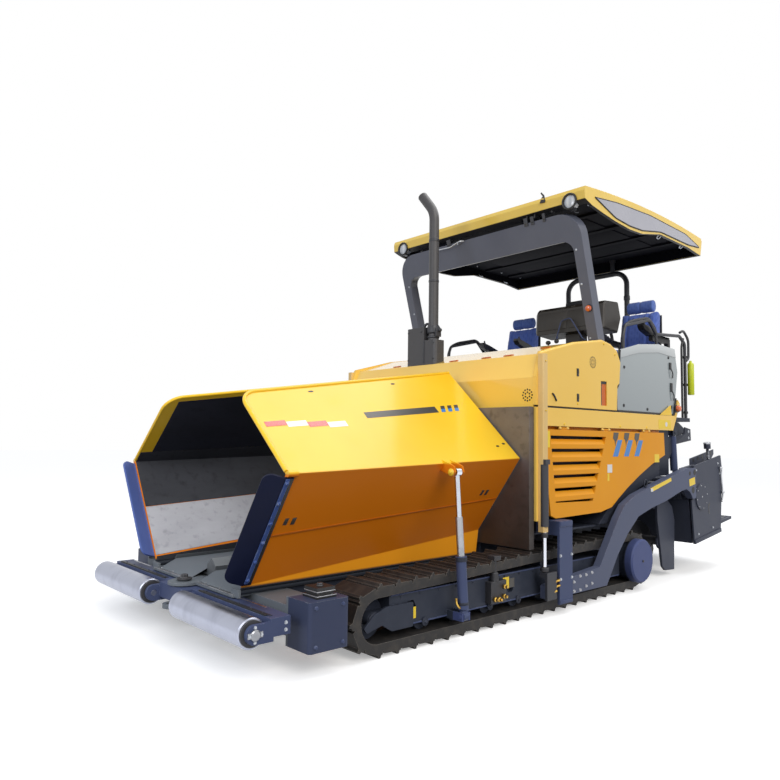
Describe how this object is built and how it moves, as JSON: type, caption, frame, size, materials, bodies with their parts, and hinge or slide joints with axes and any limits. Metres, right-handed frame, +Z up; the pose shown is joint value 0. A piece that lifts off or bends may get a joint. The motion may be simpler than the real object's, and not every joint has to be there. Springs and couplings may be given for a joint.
{
  "type": "tracked asphalt paver",
  "caption": "Tracked asphalt paver with folding hopper wings, push rollers, louvred engine bay, canopy over two seats, augers and a raised extendable screed",
  "frame": {"origin": "on the ground under the middle of the machine's overall box", "axes": "+X forward, +Y to the machine's left, +Z up"},
  "size_m": [6.3026, 2.5946, 3.8287],
  "materials": {
    "yellow": "satin paint",
    "frame_grey": "satin paint",
    "steel": "worn steel",
    "chrome": "polished",
    "cast": "dark worn",
    "track": "dark worn",
    "flap": "matt",
    "black": "matt",
    "console": "matt",
    "screen": "smooth",
    "blue_seat": "woven",
    "lamp": "clear lens",
    "rubber": "matt",
    "insert": "smooth",
    "plate_grey": "matt paint"
  },
  "bodies": {
    "tractor": {"arch_panels": "frame_grey", "auger_frame": "frame_grey", "bump_caps": "rubber", "canopy_inserts": "insert", "canopy_liner": "black", "canopy_shell": "yellow", "chassis_frame": "frame_grey", "console": "console", "conveyor_deck": "steel", "engine_block": "cast", "exhaust_box": "frame_grey", "exhaust_pipe": "frame_grey", "front_crossmember": "frame_grey", "handrails": "black", "hood": "yellow", "hopper_back_wall": "plate_grey", "lamps": "lamp", "levelling_cylinders": "chrome", "platform_deck": "frame_grey", "rear_arch": "frame_grey", "rops_arch": "frame_grey", "seat_frames": "black", "seat_left": "blue_seat", "seat_right": "blue_seat", "side_panel_left": "yellow", "side_panel_right": "yellow", "side_screens": "screen", "slat_conveyor": "steel", "tow_guides": "frame_grey", "track_frame_left": "frame_grey", "track_frame_right": "frame_grey", "track_left": "track", "track_right": "track"},
    "wing_left": {"hopper_wing_left": "yellow", "wing_flap_left": "flap"},
    "wing_barrel_left": {"wing_cylinder_barrel_left": "cast"},
    "wing_stage_left": {"wing_cylinder_stage_left": "chrome"},
    "wing_rod_left": {"wing_cylinder_rod_left": "chrome"},
    "roller_left": {"push_roller_left": "steel"},
    "door_left": {"louvre_door_left": "yellow"},
    "auger_body_left": {"auger_left": "steel"},
    "extension_left": {"screed_extension_left": "frame_grey"},
    "lift_barrel_body_left": {"lift_barrel_left": "cast"},
    "lift_rod_body_left": {"lift_rod_left": "chrome"},
    "wing_right": {"hopper_wing_right": "yellow", "wing_flap_right": "flap"},
    "wing_barrel_right": {"wing_cylinder_barrel_right": "cast"},
    "wing_stage_right": {"wing_cylinder_stage_right": "chrome"},
    "wing_rod_right": {"wing_cylinder_rod_right": "chrome"},
    "roller_right": {"push_roller_right": "steel"},
    "door_right": {"louvre_door_right": "yellow"},
    "auger_body_right": {"auger_right": "steel"},
    "extension_right": {"screed_extension_right": "frame_grey"},
    "lift_barrel_body_right": {"lift_barrel_right": "cast"},
    "lift_rod_body_right": {"lift_rod_right": "chrome"},
    "beam": {"push_beam": "frame_grey"},
    "screed": {"screed_body": "frame_grey", "tow_arm_left": "frame_grey", "tow_arm_right": "frame_grey"}
  },
  "joints": [
    {"name": "wing_lower_left", "type": "hinge", "parent": "tractor", "child": "wing_left", "pos_m": [1.7625, 0.625, 0.406], "axis": [1, 0, 0], "range_deg": [-44, 0]},
    {"name": "wing_barrel_swing_left", "type": "hinge", "parent": "tractor", "child": "wing_barrel_left", "pos_m": [1.4825, 1.265, 0.165], "axis": [1, 0, 0], "range_deg": [-41.21, 0.3]},
    {"name": "wing_stage_slide_left", "type": "slide", "parent": "wing_barrel_left", "child": "wing_stage_left", "axis": [0, -0.0739, 0.9973], "range_m": [-0.25751, 0.002]},
    {"name": "wing_rod_slide_left", "type": "slide", "parent": "wing_stage_left", "child": "wing_rod_left", "axis": [0, -0.0739, 0.9973], "range_m": [-0.25751, 0.002]},
    {"name": "roller_spin_left", "type": "hinge", "parent": "beam", "child": "roller_left", "pos_m": [3.0625, 0.67, 0.292], "axis": [0, 1, 0], "continuous": true},
    {"name": "door_open_left", "type": "hinge", "parent": "tractor", "child": "door_left", "pos_m": [-0.4975, 1.192, 1.484], "axis": [1, 0, 0], "range_deg": [0, 80]},
    {"name": "auger_spin_left", "type": "hinge", "parent": "tractor", "child": "auger_body_left", "pos_m": [-1.7975, 0.5, 0.36], "axis": [0, 1, 0], "continuous": true},
    {"name": "extension_slide_left", "type": "slide", "parent": "screed", "child": "extension_left", "axis": [0, 1, 0], "range_m": [0, 1]},
    {"name": "lift_barrel_swing_left", "type": "hinge", "parent": "tractor", "child": "lift_barrel_body_left", "pos_m": [-1.9975, 1.085, 1.48], "axis": [0, 1, 0], "range_deg": [-0.2, 3.27]},
    {"name": "lift_rod_slide_left", "type": "slide", "parent": "lift_barrel_body_left", "child": "lift_rod_body_left", "axis": [-0.0881, 0, -0.9961], "range_m": [-0.002, 0.31273]},
    {"name": "wing_lower_right", "type": "hinge", "parent": "tractor", "child": "wing_right", "pos_m": [1.7625, -0.625, 0.406], "axis": [-1, 0, 0], "range_deg": [-44, 0]},
    {"name": "wing_barrel_swing_right", "type": "hinge", "parent": "tractor", "child": "wing_barrel_right", "pos_m": [1.4825, -1.265, 0.165], "axis": [-1, 0, 0], "range_deg": [-41.21, 0.3]},
    {"name": "wing_stage_slide_right", "type": "slide", "parent": "wing_barrel_right", "child": "wing_stage_right", "axis": [0, 0.0739, 0.9973], "range_m": [-0.25751, 0.002]},
    {"name": "wing_rod_slide_right", "type": "slide", "parent": "wing_stage_right", "child": "wing_rod_right", "axis": [0, 0.0739, 0.9973], "range_m": [-0.25751, 0.002]},
    {"name": "roller_spin_right", "type": "hinge", "parent": "beam", "child": "roller_right", "pos_m": [3.0625, -0.67, 0.292], "axis": [0, 1, 0], "continuous": true},
    {"name": "door_open_right", "type": "hinge", "parent": "tractor", "child": "door_right", "pos_m": [-0.4975, -1.192, 1.484], "axis": [-1, 0, 0], "range_deg": [0, 80]},
    {"name": "auger_spin_right", "type": "hinge", "parent": "tractor", "child": "auger_body_right", "pos_m": [-1.7975, -0.5, 0.36], "axis": [0, 1, 0], "continuous": true},
    {"name": "extension_slide_right", "type": "slide", "parent": "screed", "child": "extension_right", "axis": [0, -1, 0], "range_m": [0, 1]},
    {"name": "lift_barrel_swing_right", "type": "hinge", "parent": "tractor", "child": "lift_barrel_body_right", "pos_m": [-1.9975, -1.085, 1.48], "axis": [0, 1, 0], "range_deg": [-0.2, 3.27]},
    {"name": "lift_rod_slide_right", "type": "slide", "parent": "lift_barrel_body_right", "child": "lift_rod_body_right", "axis": [-0.0881, 0, -0.9961], "range_m": [-0.002, 0.31273]},
    {"name": "beam_swing", "type": "hinge", "parent": "tractor", "child": "beam", "pos_m": [2.9325, 0, 0.31], "axis": [0, 0, 1], "range_deg": [-2.5, 2.5]},
    {"name": "screed_lift", "type": "hinge", "parent": "tractor", "child": "screed", "pos_m": [0.4425, 0, 0.19], "axis": [0, 1, 0], "range_deg": [-6.9, 0]}
  ],
  "couplings": [
    {"joint": "wing_barrel_swing_left", "follows": "wing_lower_left", "ratio": 0.92981},
    {"joint": "wing_stage_slide_left", "follows": "wing_lower_left", "m_per_rad": 0.33272},
    {"joint": "wing_rod_slide_left", "follows": "wing_lower_left", "m_per_rad": 0.33272},
    {"joint": "lift_barrel_swing_left", "follows": "screed_lift", "ratio": -0.4455},
    {"joint": "lift_rod_slide_left", "follows": "screed_lift", "m_per_rad": -2.5802},
    {"joint": "wing_barrel_swing_right", "follows": "wing_lower_right", "ratio": 0.92981},
    {"joint": "wing_stage_slide_right", "follows": "wing_lower_right", "m_per_rad": 0.33272},
    {"joint": "wing_rod_slide_right", "follows": "wing_lower_right", "m_per_rad": 0.33272},
    {"joint": "lift_barrel_swing_right", "follows": "screed_lift", "ratio": -0.4455},
    {"joint": "lift_rod_slide_right", "follows": "screed_lift", "m_per_rad": -2.5802}
  ]
}
